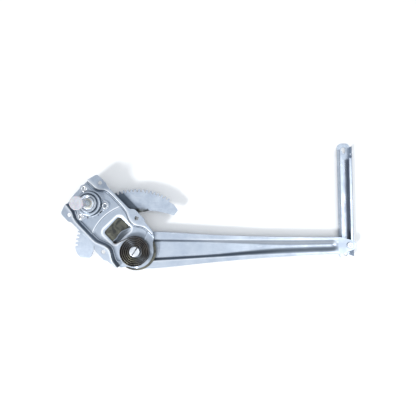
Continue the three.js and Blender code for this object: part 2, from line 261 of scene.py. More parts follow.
def nodeCopy(node, name):
    source = frame["nodes"][node]
    piece = source.copy()
    piece.data = source.data.copy()
    piece.name = name
    piece.parent = None
    bpy.context.collection.objects.link(piece)
    inEditMode(
        piece,
        lambda: bpy.ops.mesh.remove_doubles(threshold=0.002 * mm),
        lambda: bpy.ops.mesh.dissolve_limited(angle_limit=math.radians(1)),
    )
    return piece


# Gives each point of the finished mesh a value that a material can read.
def paint(piece, name, valueAt):
    attribute = piece.data.attributes.new(name, "FLOAT", "POINT")
    for vertex, item in zip(piece.data.vertices, attribute.data):
        item.value = valueAt(*[value / mm for value in vertex.co])


def finish(piece, body, material, slot, replaces=(), angle=35):
    pick(piece)
    piece.data.materials.clear()
    piece.data.materials.append(material)
    bpy.ops.object.shade_smooth_by_angle(angle=math.radians(angle))
    applyModifier(piece, "WEIGHTED_NORMAL", mode="FACE_AREA", weight=50, keep_sharp=True)
    if body:
        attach(piece, body)
    if replaces:
        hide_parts(*replaces)


# An empty node group with its sockets.
def newGroup(name, inputs, outputs):
    tree = bpy.data.node_groups.new(name, "ShaderNodeTree")
    for label, kind, value in inputs:
        socket = tree.interface.new_socket(label, in_out="INPUT", socket_type=kind)
        socket.default_value = value
    for label, kind in outputs:
        tree.interface.new_socket(label, in_out="OUTPUT", socket_type=kind)
    return tree, tree.nodes.new("NodeGroupInput"), tree.nodes.new("NodeGroupOutput")


def addNode(tree, kind, settings=None, **values):
    node = tree.nodes.new(kind)
    for key, value in (settings or {}).items():
        setattr(node, key, value)
    for key, value in values.items():
        socket = node.inputs[int(key[1:])] if key[0] == "_" else node.inputs[key]
        if isinstance(value, bpy.types.NodeSocket):
            tree.links.new(value, socket)
        else:
            socket.default_value = value
    return node


def rangeOf(tree, value, low, high, newLow=0.0, newHigh=1.0):
    node = addNode(tree, "ShaderNodeMapRange", _0=value, _1=low, _2=high, _3=newLow, _4=newHigh)
    return node.outputs[0]


def sums(tree, operation, first, second):
    return addNode(tree, "ShaderNodeMath", {"operation": operation}, _0=first, _1=second).outputs[0]


def mixed(tree, share, first, second):
    node = addNode(tree, "ShaderNodeMix", {"data_type": "RGBA"}, _0=share, _6=first, _7=second)
    return node.outputs[2]


# Rolled and plated sheet: cloudy patches, a fine grain, and long thin scratches.
def makeSheetGroup():
    tree, given, out = newGroup(
        "platedSheet",
        [("Light", "NodeSocketColor", (0.8, 0.8, 0.8, 1)), ("Dark", "NodeSocketColor", (0.5, 0.5, 0.5, 1)),
         ("Patch Scale", "NodeSocketFloat", 40.0), ("Smooth", "NodeSocketFloat", 0.25),
         ("Rough", "NodeSocketFloat", 0.45), ("Scratches", "NodeSocketFloat", 0.3),
         ("Stretch", "NodeSocketVector", (1.0, 1.0, 1.0))],
        [("Color", "NodeSocketColor"), ("Roughness", "NodeSocketFloat"), ("Height", "NodeSocketFloat")])
    spot = addNode(tree, "ShaderNodeTexCoord").outputs["Object"]
    patch = addNode(tree, "ShaderNodeTexNoise", Vector=spot, Scale=given.outputs["Patch Scale"],
                    Detail=5.0, Roughness=0.62)
    cloud = rangeOf(tree, patch.outputs[0], 0.35, 0.68)
    fine = addNode(tree, "ShaderNodeTexNoise", Vector=spot, Scale=1400.0, Detail=3.0, Roughness=0.7)
    grain = rangeOf(tree, fine.outputs[0], 0.3, 0.7)
    long = addNode(tree, "ShaderNodeMapping", Vector=spot, Scale=given.outputs["Stretch"])
    lines = addNode(tree, "ShaderNodeTexNoise", Vector=long.outputs[0], Scale=260.0, Detail=4.0, Roughness=0.65)
    scratch = rangeOf(tree, lines.outputs[0], 0.6, 0.68)
    scratch = sums(tree, "MULTIPLY", scratch, given.outputs["Scratches"])
    base = mixed(tree, cloud, given.outputs["Dark"], given.outputs["Light"])
    shade = sums(tree, "MULTIPLY", grain, 0.16)
    base = mixed(tree, shade, base, (0.32, 0.35, 0.4, 1))
    base = mixed(tree, scratch, base, (0.93, 0.95, 0.98, 1))
    rough = addNode(tree, "ShaderNodeMapRange", _0=cloud, _1=0.0, _2=1.0,
                    _3=given.outputs["Rough"], _4=given.outputs["Smooth"])
    rough = sums(tree, "ADD", rough.outputs[0], sums(tree, "MULTIPLY", grain, 0.06))
    height = sums(tree, "ADD", sums(tree, "MULTIPLY", grain, 0.5), sums(tree, "MULTIPLY", cloud, 0.8))
    height = sums(tree, "SUBTRACT", height, scratch)
    tree.links.new(base, out.inputs["Color"])
    tree.links.new(rough, out.inputs["Roughness"])
    tree.links.new(height, out.inputs["Height"])
    return tree


# Old grease: thick near a centre, thinning out with distance, broken up by smears.
def makeGreaseGroup():
    tree, given, out = newGroup(
        "greaseFilm",
        [("Centre", "NodeSocketVector", (0.0, 0.0, 0.0)), ("Thick To", "NodeSocketFloat", 0.03),
         ("Clean From", "NodeSocketFloat", 0.05), ("Amount", "NodeSocketFloat", 1.0)],
        [("Mask", "NodeSocketFloat"), ("Color", "NodeSocketColor")])
    spot = addNode(tree, "ShaderNodeTexCoord").outputs["Object"]
    away = addNode(tree, "ShaderNodeVectorMath", {"operation": "DISTANCE"}, _0=spot, _1=given.outputs["Centre"])
    smear = addNode(tree, "ShaderNodeTexNoise", Vector=spot, Scale=85.0, Detail=4.0, Roughness=0.55, Distortion=0.6)
    jitter = sums(tree, "MULTIPLY", sums(tree, "SUBTRACT", smear.outputs[0], 0.5), 0.02)
    edge = addNode(tree, "ShaderNodeMapRange", {"interpolation_type": "SMOOTHSTEP"},
                   _0=sums(tree, "ADD", away.outputs["Value"], jitter), _1=given.outputs["Thick To"],
                   _2=given.outputs["Clean From"], _3=1.0, _4=0.0)
    mask = sums(tree, "MULTIPLY", edge.outputs[0], given.outputs["Amount"])
    tone = rangeOf(tree, smear.outputs[0], 0.4, 0.66)
    tree.links.new(mask, out.inputs["Mask"])
    tree.links.new(mixed(tree, tone, (0.03, 0.028, 0.022, 1), (0.17, 0.165, 0.12, 1)), out.inputs["Color"])
    return tree


sheetGroup = makeSheetGroup()
greaseGroup = makeGreaseGroup()


def newMaterial(name, metallic, **constants):
    material = bpy.data.materials.new(name)
    material.use_nodes = True
    tree = material.node_tree
    shader = tree.nodes["Principled BSDF"]
    shader.inputs["Metallic"].default_value = metallic
    for key, value in constants.items():
        shader.inputs[key.replace("_", " ")].default_value = value
    return material, tree, shader


def placeGroup(tree, group, **values):
    node = addNode(tree, "ShaderNodeGroup", {"node_tree": group})
    for key, value in values.items():
        node.inputs[key.replace("_", " ")].default_value = value
    return node


# Plated sheet steel, with painted shade and painted highlights where a piece carries a painted-shading value, and
# grease where asked.
def sheetMaterial(name, look, grease=None, paintedShading=False, metallic=0.86):
    material, tree, shader = newMaterial(name, metallic)
    wear = placeGroup(tree, sheetGroup, **{k: v for k, v in look.items() if k != "bump"})
    color, rough = wear.outputs["Color"], wear.outputs["Roughness"]
    if paintedShading:
        # painted shade: above nought the colour goes towards a dark blue-grey; painted highlight: below nought it goes
        # towards near-white
        mark = addNode(tree, "ShaderNodeAttribute", {"attribute_name": "paintedShading"}).outputs["Fac"]
        color = mixed(tree, rangeOf(tree, mark, 0.0, 1.0), color, (0.035, 0.055, 0.08, 1))
        paintedHighlight = rangeOf(tree, mark, 0.0, -1.0)
        color = mixed(tree, paintedHighlight, color, (0.96, 0.98, 1.0, 1))
        rough = addNode(tree, "ShaderNodeMix", _0=paintedHighlight, _2=rough, _3=0.5).outputs[0]
    if grease:
        film = placeGroup(tree, greaseGroup, **grease)
        color = mixed(tree, film.outputs["Mask"], color, film.outputs["Color"])
        rough = addNode(tree, "ShaderNodeMix", _0=film.outputs["Mask"], _2=rough, _3=0.32).outputs[0]
    bump = addNode(tree, "ShaderNodeBump", Strength=look.get("bump", 0.1), Distance=0.0003,
                   Height=wear.outputs["Height"])
    tree.links.new(color, shader.inputs["Base Color"])
    tree.links.new(rough, shader.inputs["Roughness"])
    tree.links.new(bump.outputs[0], shader.inputs["Normal"])
    return material


# Moulded plastic: faint clouding and a fine moulded texture.
def plasticMaterial(name, light, dark, roughness, subsurface):
    material, tree, shader = newMaterial(name, 0.0, Subsurface_Weight=subsurface, Subsurface_Scale=0.004)
    spot = addNode(tree, "ShaderNodeTexCoord").outputs["Object"]
    cloud = addNode(tree, "ShaderNodeTexNoise", Vector=spot, Scale=180.0, Detail=3.0)
    skin = addNode(tree, "ShaderNodeTexNoise", Vector=spot, Scale=2200.0, Detail=2.0)
    color = mixed(tree, rangeOf(tree, cloud.outputs[0], 0.35, 0.65), dark, light)
    tree.links.new(color, shader.inputs["Base Color"])
    tree.links.new(rangeOf(tree, cloud.outputs[0], 0.3, 0.7, roughness - 0.06, roughness + 0.08),
                   shader.inputs["Roughness"])
    bump = addNode(tree, "ShaderNodeBump", Strength=0.12, Distance=0.0002, Height=skin.outputs[0])
    tree.links.new(bump.outputs[0], shader.inputs["Normal"])
    return material


zincLook = {"Light": (0.52, 0.58, 0.66, 1), "Dark": (0.39, 0.45, 0.54, 1), "Patch_Scale": 55.0, "Smooth": 0.27,
            "Rough": 0.43, "Scratches": 0.25, "Stretch": (0.15, 2.5, 1.0), "bump": 0.12}
plateZinc = sheetMaterial("plateZinc", {**zincLook, "Stretch": (1.6, 0.5, 1.0)}, paintedShading=True)
armZinc = sheetMaterial("armZinc", {**zincLook, "Patch_Scale": 30.0, "Smooth": 0.3}, paintedShading=True)
channelZinc = sheetMaterial("channelZinc", {**zincLook, "Smooth": 0.22, "Rough": 0.36, "Stretch": (2.5, 0.1, 1.0)})
drumZinc = sheetMaterial("drumZinc", {**zincLook, "Smooth": 0.2, "Rough": 0.34, "Scratches": 0.2}, paintedShading=True)
gearZinc = sheetMaterial(
    "gearZinc", {**zincLook, "Light": (0.56, 0.62, 0.7, 1), "Smooth": 0.34, "Rough": 0.5}, paintedShading=True,
    grease={"Centre": (0, 0, 0.0065), "Thick_To": 0.066, "Clean_From": 0.074, "Amount": 0.94})
brightSteel = sheetMaterial(
    "brightSteel", {**zincLook, "Light": (0.86, 0.88, 0.91, 1), "Dark": (0.74, 0.77, 0.81, 1), "Smooth": 0.2,
                    "Rough": 0.3, "Stretch": (1.0, 1.0, 0.2)})
spindleSteel = sheetMaterial(
    "spindleSteel", {**zincLook, "Light": (0.85, 0.88, 0.9, 1), "Dark": (0.5, 0.52, 0.52, 1), "Smooth": 0.15,
                     "Rough": 0.36, "Stretch": (1.0, 1.0, 0.2)})
springSteel = sheetMaterial(
    "springSteel", {**zincLook, "Light": (0.075, 0.06, 0.045, 1), "Dark": (0.018, 0.014, 0.01, 1), "Smooth": 0.3,
                    "Rough": 0.5, "Scratches": 0.02, "Patch_Scale": 110.0, "bump": 0.3},
    grease={"Centre": (-0.006, -0.014, 0.02), "Thick_To": 0.004, "Clean_From": 0.026, "Amount": 0.75})
darkSteel = sheetMaterial(
    "darkSteel", {**zincLook, "Light": (0.34, 0.34, 0.32, 1), "Dark": (0.16, 0.15, 0.13, 1), "Smooth": 0.3,
                  "Rough": 0.5, "Patch_Scale": 120.0},
    grease={"Centre": (spindleAt[0] * mm, spindleAt[1] * mm, 0.008), "Thick_To": 0.004, "Clean_From": 0.016,
            "Amount": 0.7})
bronze = sheetMaterial(
    "bronze", {**zincLook, "Light": (0.55, 0.4, 0.2, 1), "Dark": (0.35, 0.24, 0.11, 1), "Patch_Scale": 200.0})
capPlastic = plasticMaterial("capPlastic", (0.60, 0.60, 0.64, 1), (0.50, 0.50, 0.55, 1), 0.42, 0.25)
nylon = plasticMaterial("nylon", (0.80, 0.78, 0.72, 1), (0.72, 0.69, 0.62, 1), 0.45, 0.15)
print("materials made")

# Base plate, in mm along and across it; each outline corner carries its rounding.
plate = {
    "wallSpread": (-3.3, 1.5), "thickness": 2.0, "leanOut": 1.4, "stepRadius": 78, "stepRise": 1.5,
    "window": [(33.2, -18, 4), (33.2, 21.2, 3), (62.2, 20, 6), (60, -18.2, 5)], "windowRoll": 1.0,
    "earHoles": [(37.5, 40.4), (121.2, 37.3), (35.5, -37.2), (118.5, -35.8)], "holeRadius": 3.5,
    "noseRadius": 29.2, "rimEnd": 0.8, "noseDrop": 0.6,
    "slots": [(87.4, 4.2, 1.7, 7.6), (86.8, -3.2, 1.6, 1.8), (95.6, -18.4, 1.8, 3.4)],
    "farEdge": [(137.6, -21.8, 3), (139.5, -10.5, 3), (140.4, 6, 3), (140.3, 21, 3)],
}
rightSide = {
    "wall": [(-30, 39.8), (1, 39.8), (10, 39.4), (18, 38.4), (24, 35.2), (30.5, 30.5), (38, 28.8), (46.6, 30.3),
             (55.6, 34.4), (64.5, 36.2), (80, 36.8), (98, 36.4), (106.5, 34.4), (112, 29.8), (117.5, 26),
             (127, 24.8), (142, 24.2)],
    "rim": [(138.8, 28, 1), (135.4, 42.2, 3), (132.6, 44, 3), (113.6, 44.2, 3), (110, 42, 3), (57, 42.4, 3),
            (51, 48.6, 4), (27.6, 49, 4), (24.4, 45.8, 2), (6, 45.2, 2), (0.8, 42.8, 0.5), (-3.8, 38.6, 2),
            (-6, 35, 3), (-8.4, 30.9, 3)],
}
leftSide = {
    "wall": [(-30, 37.8), (1, 37.8), (7, 37.2), (14, 36), (21, 32.6), (27, 28.8), (33, 27), (40, 27.8), (47, 30.4),
             (55.5, 34), (64, 35), (88, 35), (102, 34.9), (110.6, 33.2), (118, 29.4), (127, 28), (142, 27.6)],
    "rim": [(135.6, 28, 1), (130.4, 42.4, 3), (127, 44, 2), (111, 44.2, 3), (107.6, 41.4, 3), (53.4, 40.4, 3),
            (46.4, 45.8, 4), (24, 45.8, 3), (21, 42.8, 2), (4, 40.8, 1), (0.8, 39.8, 0.5), (-4.6, 35.4, 2),
            (-6.5, 32, 3), (-9, 28.2, 3)],
}
sideWalls = {1: lineThrough(rightSide["wall"]), -1: lineThrough(leftSide["wall"])}
floorTop = floorUnder + plate["thickness"]


def wallAt(along, across):
    return sideWalls[1 if across >= 0 else -1](along)


def windowGap(along, across):
    low, high = plate["window"][0][0], plate["window"][3][0] + 1
    left, right = plate["window"][0][1], plate["window"][2][1]
    dx = max(low + 5 - along, along - high + 5)
    dy = max(left + 5 - across, across - right + 5)
    return math.hypot(max(dx, 0), max(dy, 0)) + min(max(dx, dy), 0) - 5


# How far a spot is past the bend that crosses the floor on its way to the nose.
def nosePast(along, across):
    return 12 - 0.5 * max(38 - abs(across), 0) - along if abs(across) > 18 else -9


def plateHeight(along, across):
    reach = math.hypot(along, across)
    floor = floorTop + plate["stepRise"] * smooth(reach, plate["stepRadius"] - 1.4, plate["stepRadius"] + 1.2)
    floor -= plate["windowRoll"] * (1 - smooth(windowGap(along, across), -0.5, 4.5))
    floor -= plate["noseDrop"] * smooth(nosePast(along, across), 0, 1.4)
    low, high = plate["wallSpread"]
    off = abs(across) - wallAt(along, across)
    return floor + (earTop - floor) * (0.13 * smooth(off, low, low + 2) + 0.87 * smooth(off, low + 1.5, high))


def plateOutline():
    nose = [(*polar(plate["noseRadius"], math.pi - math.radians(turn)), 0) for turn in range(60, -61, -6)]
    left = [(along, -across, radius) for along, across, radius in reversed(leftSide["rim"])]
    corners = rightSide["rim"] + nose + left + plate["farEdge"]
    return rounded([(*onPlate(along, across), radius) for along, across, radius in corners])


def makeBasePlate():
    stations = [-30 + i for i in range(98)] + [68 + 0.45 * i for i in range(29)] + [81.5 + i for i in range(62)]
    bend = [-4.8, -4.3, -3.9, -3.5, -3.1, -2.6, -2.1, -1.7, -1.3, -0.9, -0.5, -0.1, 0.3, 0.7, 1.1, 1.5, 1.9]
    inner, outer = 17, 5
    half = inner + len(bend) - 1 + outer

    def acrossAt(step, wall):
        if step <= inner:
            return (wall + bend[0]) * step / inner
        if step < inner + len(bend):
            return wall + bend[step - inner]
        edge = wall + bend[-1]
        return edge + (52 - edge) * (step - inner - len(bend) + 1) / outer

    def place(row, column):
        along, side = stations[row], column - half
        wall = wallAt(along, side)
        across = math.copysign(acrossAt(abs(side), wall), side)
        height = plateHeight(along, across)
        out = math.copysign(plate["leanOut"] * smooth(abs(across), wall - 9, wall - 3), side)
        return (*onPlate(along, across), height), (*onPlate(along, across + out), height - plate["thickness"])

    piece = pressedSheet("basePlate", len(stations) - 1, 2 * half, place)
    cutters = [prism(rounded([(*onPlate(s, t), corner) for s, t, corner in plate["window"]], 8), 0, 30)]
    cutters.append(prism(circle(9), 0, 30))
    cutters.append(prism(circle(13, spindleAt), 0, 30))
    cutters += [prism(circle(3.9, polar(26, math.radians(turn), spindleAt), 28), 0, 30) for turn in drum["ears"]]
    cutters += [prism(circle(plate["holeRadius"], onPlate(*spot), 40), 0, 30) for spot in plate["earHoles"]]
    for along, across, wide, long in plate["slots"]:
        corners = [(along + dx * wide / 2, across + dy * long / 2)
                   for dx, dy in ((-1, -1), (1, -1), (1, 1), (-1, 1))]
        cutters.append(prism(rounded([(*onPlate(*spot), 0.6) for spot in corners], 3), 0, 30))
    for side in (1, -1):
        block = [(-40, 30), (plate["rimEnd"], 30), (plate["rimEnd"], 55), (-40, 55)]
        cutters.append(prism([onPlate(along, side * across) for along, across in block], floorTop + 0.06, 30))
    boolean(piece, "INTERSECT", prism(plateOutline(), 0, 40))
    boolean(piece, "DIFFERENCE", *cutters)
    inEditMode(piece, lambda: bpy.ops.mesh.remove_doubles(threshold=weldGap))
    chamferEdges(piece, 0.35, 2, 50)
    joinInto(piece, makeSpringTab())
    paint(piece, "paintedShading", lambda x, y, z: plateShading(*plateSpot(x, y), z))
    finish(piece, "base", plateZinc, "zinc_plate", ["base_plate"], 55)


# Painted light on the base plate: above nought for painted shade in the wall creases, along the step, at the nose bend
# and on the walls, and for the spring's painted shadow on the nose floor; below nought for painted highlights along
# the rim, the step's edge and the window's lip.
def plateShading(along, across, z):
    off = abs(across) - wallAt(along, across)
    crease = 1 - smooth(abs(off + 3.7), 0.3, 0.9)
    reach = math.hypot(along, across)
    ledge = 1 - smooth(abs(reach - plate["stepRadius"] + 1.7), 0.2, 0.8)
    turn = 1 - smooth(abs(nosePast(along, across) - 0.3), 0.3, 1.0)
    band = smooth(off, -2.2, -1.3) * (1 - smooth(off, 0.0, 0.9)) * (0.35 if across > 0 else 0.55)
    dark = max(0.8 * crease * smooth(along, 2, 6), 0.75 * ledge * (1 - smooth(abs(off), 0, 2)), 0.7 * turn, band)
    # painted shadow of the spring on the nose floor
    if reach < 34 and off < -3:
        dark = max(dark, 0.42 * smooth(abs(across), 2, 8) * (across > 0) * (1 - smooth(reach, 29, 33)))
    if off > -4.2:
        dark = max(0.8 * crease, band)
    rim = 1 - smooth(abs(off - 1.3), 0.2, 0.9)
    edge = (1 - smooth(abs(reach - plate["stepRadius"] - 1.2), 0.2, 0.9)) * (1 - smooth(off, -6, -4))
    lip = (1 - smooth(abs(windowGap(along, across) - 4), 0.5, 2.2)) * (1 - smooth(off, -6, -4))
    bright = max(rim, 0.8 * edge, 0.7 * lip)
    return dark - bright if z > floorTop - 0.5 else 0.0


# The flap bent up from the window's edge, which holds the spring's outer end.
tab = {
    "foot": [(-14, 33.0), (20, 33.2)],
    "top": [(-14, 36.3), (-5.7, 35.9), (0, 37.4), (8, 38), (14, 36), (20.5, 34)],
    "tall": [(-14, 19.4), (0, 19.2), (8, 17), (14, 13.4), (20.5, 11.0)],
}


def makeSpringTab():
    rows, columns = 12, 24
    footAt, topAt, tallAt = (lineThrough(tab[key]) for key in ("foot", "top", "tall"))

    def place(row, column):
        across = -14 + 34.5 * column / columns
        share = row / rows
        bend = smooth(share, 0, 0.5)
        foot = footAt(across)
        along = foot - 1.6 + 1.2 * min(share / 0.2, 1) + (topAt(across) - foot + 0.4) * share * bend
        height = floorTop - 0.3 + (tallAt(across) - floorTop + 0.3) * share
        top = *onPlate(along, across), height
        return top, (*onPlate(along + 1.5, across), height - 0.5)

    piece = pressedSheet("springTab", rows, columns, place)
    chamferEdges(piece, 0.25, 2, 50)
    return piece


# Drum housing: its cup is turned, and painted shade and painted highlights darken or brighten its rings by radius.
drum = {
    "ears": (108.7, -9.3, 234.7), "earCircle": 26, "under": 12.8, "lugRadius": 7.4,
    "cup": [(18.6, 12.8), (22.4, 12.8), (22.4, 14.6), (20.9, 14.9), (20.4, 15.6), (20.4, 19.2), (19.8, 20.2),
            (18.8, 20.5), (17, 20.5), (16.2, 20.7), (15.5, 21.3), (15.2, 22.3), (14.9, 22.9), (14.2, 23.2),
            (12.4, 23.2), (11.6, 22.9), (10.9, 22.3), (10, 22.1), (8.9, 22.1), (8.2, 22.5), (8, 23.4), (7.9, 23.4),
            (7.9, 20.6), (12, 20.6), (13.6, 19.6), (13.6, 18.9), (18.6, 18.9), (18.6, 12.8)],
    "paintedRingShading": [(7, 0.2), (8.3, -0.5), (10, -0.35), (10.8, 0.15), (11.4, 0.5), (12.2, -0.5), (13.6, -0.6),
               (14.4, 0.3), (15.3, 0.95), (16.4, 0.8), (17.2, 0.1), (18.4, -0.3), (19.6, 0.1), (20.4, 0.9),
               (21, 0.6), (21.6, -0.2), (22.6, -0.4), (24, -0.25), (34, -0.2)],
}


def makeDrumHousing():
    piece = turned("drumHousing", drum["cup"], spindleAt, 96, 0)
    top = drum["under"] + 2
    for turn in drum["ears"]:
        angle = math.radians(turn)
        ear = polar(drum["earCircle"], angle, spindleAt)
        outline = []
        for side in (-1, 1):
            spread = side * math.radians(44)
            rim = [polar(22.4, angle + spread, spindleAt), polar(22.6, angle + side * math.radians(25), spindleAt)]
            arc = [polar(drum["lugRadius"], angle + side * math.radians(64 - 16 * i), ear) for i in range(4)]
            points = rim + arc
            outline += points if side < 0 else points[::-1]
        base = [polar(19.4, angle + math.radians(44 - 11 * i), spindleAt) for i in range(9)]
        boolean(piece, "UNION", prism(outline + base, drum["under"], top))
    boolean(piece, "DIFFERENCE", *[
        prism(circle(3.9, polar(drum["earCircle"], math.radians(turn), spindleAt), 36), 0, 30)
        for turn in drum["ears"]])
    inEditMode(piece, lambda: bpy.ops.mesh.remove_doubles(threshold=weldGap))
    chamferEdges(piece, 0.3, 2, 38)
    paintedRingShading = lineThrough(drum["paintedRingShading"])
    paint(piece, "paintedShading", lambda x, y, z: paintedRingShading(math.hypot(x - spindleAt[0], y - spindleAt[1])))
    finish(piece, "base", drumZinc, "zinc_plate", ["drum_housing"])


def makeEyelets():
    low, high = 9.5, 15.1
    profile = [(2.6, low), (5.0, low), (5.1, low + 0.5), (3.7, low + 0.8), (3.7, high), (5.1, high),
               (5.15, high + 0.35), (4.7, high + 0.8), (4.0, high + 0.95), (3.2, high + 0.8), (2.75, high + 0.3),
               (2.6, high - 0.6), (2.6, low)]
    for i, turn in enumerate(drum["ears"]):
        place = polar(drum["earCircle"], math.radians(turn), spindleAt)
        piece = turned(f"eyelet{i + 1}", profile, place, 40, 0)
        finish(piece, "base", brightSteel, "bright_steel", [f"housing_eyelet_{i + 1}"], 50)


def toothedOutline(count, radii, widths, first, centre=(0, 0)):
    outline = []
    for i in range(count):
        middle = first + 2 * math.pi * i / count
        outline += [polar(radius, middle - wide / radius, centre) for radius, wide in zip(radii, widths)]
        outline += [polar(radius, middle + wide / radius, centre)
                    for radius, wide in reversed(list(zip(radii, widths)))]
    return outline


def makeSpindle():
    splineFrom, top = 46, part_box("spindle")[1].z / mm
    core = [(0, 3), (3.2, 3), (3.5, 3.4), (3.5, 17.2), (5.7, 17.2), (6, 17.6), (6, 26), (5.75, 26.6), (5.75, 27.6),
            (6, 28.2), (6, splineFrom - 0.4), (5.4, splineFrom), (5.3, top - 1), (4.6, top), (0, top)]
    piece = turned("spindleShaft", core, spindleAt, 64, 0.12)
    teeth = toothedOutline(30, (5.25, 5.9), (0.45, 0.2), 0, spindleAt)
    joinInto(piece, prism(teeth, splineFrom, top - 0.9))
    finish(piece, "spindle", spindleSteel, "bright_steel", ["spindle"])


def makeCap():
    low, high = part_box("spindle_cap")[0].z / mm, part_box("spindle_cap")[1].z / mm
    profile = [(6.35, low), (7.1, low), (7.25, low + 0.5), (7.3, high - 3.4), (7.6, high - 3.1), (10.1, high - 3.1),
               (10.6, high - 2.5), (10.6, high - 0.9), (10.2, high - 0.25), (9.4, high), (8.5, high),
               (8.2, high - 0.22), (7.9, high - 0.22), (7.6, high), (3.7, high), (3.5, high - 0.2), (3.2, high - 0.25),
               (0, high - 0.25),
               (0, high - 3.0), (6.3, high - 3.0), (6.35, low)]
    piece = turned("spindleCap", profile, spindleAt, 80, 0)
    chamferEdges(piece, 0.12, 2, 30)
    finish(piece, "cap", capPlastic, "grey_nylon", ["spindle_cap"])


# Sector gear; the painted shadow of the plate's edge on its face ends between the two shadow edges.
gear = {"module": 2.1, "full": 97, "teeth": 32, "before": 21, "hub": 33.3, "shadowEdge": (50.5, 53)}


def makeSectorGear():
    low, high = (corner.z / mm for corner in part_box("sector_gear"))
    pitchRadius = gear["module"] * gear["full"] / 2
    tip, root = pitchRadius + gear["module"], pitchRadius - 1.25 * gear["module"]
    pitch = 2 * math.pi / gear["full"]
    teeth = []
    for i in range(gear["teeth"]):
        middle = plateAngle + (i + 0.5 - gear["before"]) * pitch
        flank = [(root, 2.2), (root + 0.5, 1.95), (pitchRadius, 1.42), (tip - 0.3, 0.85), (tip, 0.45)]
        teeth += [polar(radius, middle - wide / radius) for radius, wide in flank]
        teeth += [polar(radius, middle + wide / radius) for radius, wide in reversed(flank)]

    def spots(*pairs):
        return [(*polar(radius, math.radians(turn)), rounding) for radius, turn, rounding in pairs]

    plain = [(x, y, 0) for x, y in teeth]
    hub = [(*polar(gear["hub"], math.radians(turn)), 0) for turn in range(165, 456, 6)]
    outline = rounded(
        spots((86.9, 42, 0.8), (96.8, 42.8, 0.8), (98.2, 43.8, 0.8), (100.2, 50, 1), (root, 53.7, 0.5))
        + plain
        + spots((root, 173.9, 0.5), (103.5, 174.4, 0.5), (102.9, 177, 2), (101.4, 180, 3), (98.6, 183.2, 3),
                (94.2, 185.8, 2), (80.2, 187.4, 1.5), (77, 185.8, 1.5), (71, 175, 6), (56, 168, 8))
        + hub
        + spots((52, 92, 9), (64, 87.5, 4), (72, 69, 0), (75.4, 61, 0), (78.6, 54, 0), (82.4, 48, 0)))
    piece = prism(outline, low, high, "sectorPlate")
    holes = [prism(circle(7.3), 0, 20)]
    holes += [prism(circle(4.3, polar(23, math.radians(turn)), 32), 0, 20) for turn in (100, 200, 300)]
    holes += [prism(circle(0.9, polar(97.2, math.radians(91.8)), 16), high - 0.8, 20)]
    holes += [prism(circle(0.9, polar(94.3, math.radians(60.7)), 16), high - 0.8, 20)]
    boolean(piece, "DIFFERENCE", *holes)
    chamferEdges(piece, 0.22, 2, 25)
    across = (math.sin(plateAngle), -math.cos(plateAngle), 0)
    for edge in gear["shadowEdge"]:
        spot = [value * mm for value in onPlate(80, edge)]
        inEditMode(piece, lambda: bpy.ops.mesh.bisect(plane_co=(*spot, 0), plane_no=across, threshold=1e-6))
    paint(piece, "paintedShading", plateShadowOnGear)
    finish(piece, "arm", gearZinc, "zinc_plate", ["sector_gear"])


# Painted shadow of the plate's right edge: a dark band on the gear's face where it runs in under that edge.
def plateShadowOnGear(x, y, z):
    along, across = plateSpot(x, y)
    if across < 30 or z < 6:
        return 0.0
    return 0.8 if across < (gear["shadowEdge"][0] + gear["shadowEdge"][1]) / 2 else 0.0


# Lift arm: half widths along it, and how much of the trough's bottom is flat.
arm = {
    "width": [(-40, 31), (0, 31), (35, 30.8), (132, 23), (209, 18.5), (257, 16.5), (310, 14.6), (348, 14.3),
              (380, 14.3)],
    "trough": [(15, 18.9), (60, 17.4), (132, 15), (209, 12.9), (330, 10.9), (345, 10.9)],
    "flat": [(15, 0.74), (120, 0.66), (190, 0.4), (250, 0.12), (345, 0.05)],
    "depth": 4.5, "start": 16, "end": 343.4, "joggle": (143, 192, 2.0), "thickness": 2.0, "rootTop": 5.0,
    "leanOut": 0.8,
}
armWidth, troughWidth, troughFlat = (lineThrough(arm[key]) for key in ("width", "trough", "flat"))


def armHeight(x, y):
    first, last, drop = arm["joggle"]
    wide = troughWidth(x)
    turnAt = arm["end"] - troughWidth(arm["end"])
    away = math.hypot(max(x - turnAt, 0), y) / wide
    share = 1 - smooth(away, troughFlat(x), 1.0)
    share *= smooth(x, arm["start"], arm["start"] + 9)
    return arm["rootTop"] - drop * smooth(x, first, last) - arm["depth"] * share


# Painted shade on the trough's lower wall, wider towards the tip; painted shade on the upper wall at the root and a
# painted highlight on it further on, and painted highlights along the rims.
def armShading(x, y, z):
    if x < arm["start"] + 4 or x > arm["end"]:
        return 0.0
    middle = (troughFlat(x) + 1) / 2
    share = abs(y) / troughWidth(x)
    wide = 0.16 + (0.42 * smooth(x, 110, 250) if y < 0 else 0.1)
    slope = 1 - smooth(abs(share - middle), 0.02, wide)
    dark = slope * (0.75 - 0.2 * smooth(x, 200, 300) if y < 0 else 0.42 - 0.8 * smooth(x, 60, 150))
    rim = 1 - smooth(abs(share - 1.03), 0.01, 0.08)
    return dark - (0.1 + 0.4 * smooth(x, 60, 120) if y > 0 else 0.3) * rim


